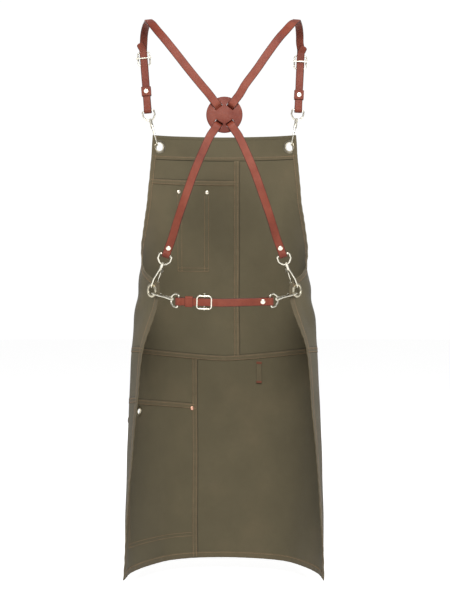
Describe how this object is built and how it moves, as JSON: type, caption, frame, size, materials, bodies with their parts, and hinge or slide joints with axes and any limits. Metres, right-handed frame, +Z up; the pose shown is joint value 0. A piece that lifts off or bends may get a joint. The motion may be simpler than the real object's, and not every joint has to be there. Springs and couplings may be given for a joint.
{
  "type": "butcher apron",
  "caption": "Bib apron of waxed canvas with a crossed leather back harness, swivel snap hooks, slider buckles and a back belt.",
  "frame": {"origin": "midway between the two shoulder straps on the shoulder line, at the height of their undersides, where the apron hangs on the shoulders", "axes": "+Z up, +Y the way the wearer faces, +X the wearer's right, the open back towards -Y"},
  "size_m": [0.3718, 0.254, 1.0481],
  "materials": {
    "canvas": "heavy waxed cotton canvas, olive brown",
    "leather": "russet strap leather with dark painted edges",
    "hardware_metal": "pale nickel plated, satin",
    "grommet_metal": "pale plated brass",
    "rivet_metal": "domed brass and copper rivets"
  },
  "bodies": {
    "apron": {"bib_top_band": "canvas", "bib_yoke_left": "canvas", "bib_panel_left": "canvas", "bib_panel_right": "canvas", "skirt_panel_left_upper": "canvas", "skirt_panel_left_lower": "canvas", "skirt_panel_right": "canvas", "pen_pocket": "canvas", "hip_pocket": "canvas", "tool_loop": "canvas", "bib_grommets": "grommet_metal", "waist_grommets": "grommet_metal", "towel_grommet": "grommet_metal", "pocket_rivets": "rivet_metal", "hip_pocket_rivet": "rivet_metal", "strap_end_rivets": "rivet_metal", "shoulder_strap_left": "leather", "shoulder_strap_right": "leather", "back_belt_strap": "leather", "cross_patch": "leather", "eye_bib_left": "hardware_metal", "eye_bib_right": "hardware_metal", "eye_waist_left": "hardware_metal", "eye_waist_right": "hardware_metal", "eye_belt_left": "hardware_metal", "eye_belt_right": "hardware_metal"},
    "hook_bib_left": {"hook_bib_left": "hardware_metal"},
    "gate_bib_left": {"gate_bib_left": "hardware_metal"},
    "hook_bib_right": {"hook_bib_right": "hardware_metal"},
    "gate_bib_right": {"gate_bib_right": "hardware_metal"},
    "hook_waist_left": {"hook_waist_left": "hardware_metal"},
    "gate_waist_left": {"gate_waist_left": "hardware_metal"},
    "hook_waist_right": {"hook_waist_right": "hardware_metal"},
    "gate_waist_right": {"gate_waist_right": "hardware_metal"},
    "hook_belt_left": {"hook_belt_left": "hardware_metal"},
    "gate_belt_left": {"gate_belt_left": "hardware_metal"},
    "hook_belt_right": {"hook_belt_right": "hardware_metal"},
    "gate_belt_right": {"gate_belt_right": "hardware_metal"},
    "slider_left": {"slider_frame_left": "hardware_metal", "slider_bar_left": "hardware_metal"},
    "keeper_left": {"keeper_left": "leather", "keeper_rivet_left": "rivet_metal"},
    "slider_right": {"slider_frame_right": "hardware_metal", "slider_bar_right": "hardware_metal"},
    "keeper_right": {"keeper_right": "leather", "keeper_rivet_right": "rivet_metal"},
    "slider_belt": {"slider_frame_belt": "hardware_metal", "slider_bar_belt": "hardware_metal"},
    "keeper_belt": {"keeper_belt": "leather", "keeper_rivet_belt": "rivet_metal"}
  },
  "joints": [
    {"name": "swivel_bib_left", "type": "hinge", "parent": "apron", "child": "hook_bib_left", "pos_m": [-0.14492, 0.08364, -0.18092], "axis": [-0.2575, -0.1202, 0.9588], "range_deg": [-5, 10]},
    {"name": "gate_bib_left", "type": "hinge", "parent": "hook_bib_left", "child": "gate_bib_left", "pos_m": [-0.14293, 0.08838, -0.19022], "axis": [-0.9526, -0.1347, -0.2727], "range_deg": [0, 7], "stiffness_Nm_per_rad": 0.02, "springref_deg": -11.46},
    {"name": "swivel_bib_right", "type": "hinge", "parent": "apron", "child": "hook_bib_right", "pos_m": [0.1412, 0.08553, -0.17966], "axis": [0.1821, -0.0817, 0.9799], "range_deg": [-10, 5]},
    {"name": "gate_bib_right", "type": "hinge", "parent": "hook_bib_right", "child": "gate_bib_right", "pos_m": [0.13992, 0.0899, -0.18926], "axis": [-0.9717, 0.1374, 0.192], "range_deg": [0, 7], "stiffness_Nm_per_rad": 0.02, "springref_deg": -11.46},
    {"name": "swivel_waist_left", "type": "hinge", "parent": "apron", "child": "hook_waist_left", "pos_m": [-0.1141, -0.08954, -0.4691], "axis": [0.3461, -0.4024, 0.8475], "range_deg": [-10, 10]},
    {"name": "gate_waist_left", "type": "hinge", "parent": "hook_waist_left", "child": "gate_waist_left", "pos_m": [-0.11495, -0.08303, -0.47747], "axis": [-0.5957, 0.6037, 0.5298], "range_deg": [0, 7], "stiffness_Nm_per_rad": 0.02, "springref_deg": -11.46},
    {"name": "swivel_waist_right", "type": "hinge", "parent": "apron", "child": "hook_waist_right", "pos_m": [0.1141, -0.08954, -0.4691], "axis": [-0.3461, -0.4024, 0.8475], "range_deg": [-10, 10]},
    {"name": "gate_waist_right", "type": "hinge", "parent": "hook_waist_right", "child": "gate_waist_right", "pos_m": [0.11495, -0.08303, -0.47747], "axis": [-0.5957, -0.6037, -0.5298], "range_deg": [0, 7], "stiffness_Nm_per_rad": 0.02, "springref_deg": -11.46},
    {"name": "swivel_belt_left", "type": "hinge", "parent": "apron", "child": "hook_belt_left", "pos_m": [-0.09897, -0.10301, -0.52805], "axis": [0.6759, -0.7019, -0.2247], "range_deg": [-10, 10]},
    {"name": "gate_belt_left", "type": "hinge", "parent": "hook_belt_left", "child": "gate_belt_left", "pos_m": [-0.10312, -0.09351, -0.52569], "axis": [0.1331, -0.1837, 0.9739], "range_deg": [0, 7], "stiffness_Nm_per_rad": 0.02, "springref_deg": -11.46},
    {"name": "swivel_belt_right", "type": "hinge", "parent": "apron", "child": "hook_belt_right", "pos_m": [0.09897, -0.10301, -0.52805], "axis": [-0.6759, -0.7019, -0.2247], "range_deg": [-10, 10]},
    {"name": "gate_belt_right", "type": "hinge", "parent": "hook_belt_right", "child": "gate_belt_right", "pos_m": [0.10312, -0.09351, -0.52569], "axis": [0.1331, 0.1837, -0.9739], "range_deg": [0, 7], "stiffness_Nm_per_rad": 0.02, "springref_deg": -11.46},
    {"name": "slider_slide_left", "type": "slide", "parent": "apron", "child": "slider_left", "axis": [-0.0786, 0.035, 0.9963], "range_m": [-0.038, 0.012]},
    {"name": "keeper_slide_left", "type": "slide", "parent": "apron", "child": "keeper_left", "axis": [-0.0786, 0.035, 0.9963], "range_m": [-0.015, 0.03]},
    {"name": "slider_slide_right", "type": "slide", "parent": "apron", "child": "slider_right", "axis": [0.0482, 0.035, 0.9982], "range_m": [-0.038, 0.012]},
    {"name": "keeper_slide_right", "type": "slide", "parent": "apron", "child": "keeper_right", "axis": [0.0482, 0.035, 0.9982], "range_m": [-0.009, 0.03]},
    {"name": "slider_slide_belt", "type": "slide", "parent": "apron", "child": "slider_belt", "axis": [0.9991, -0.03, -0.03], "range_m": [-0.004, 0.01]},
    {"name": "keeper_slide_belt", "type": "slide", "parent": "apron", "child": "keeper_belt", "axis": [0.9991, -0.03, -0.03], "range_m": [-0.001, 0.004]}
  ]
}
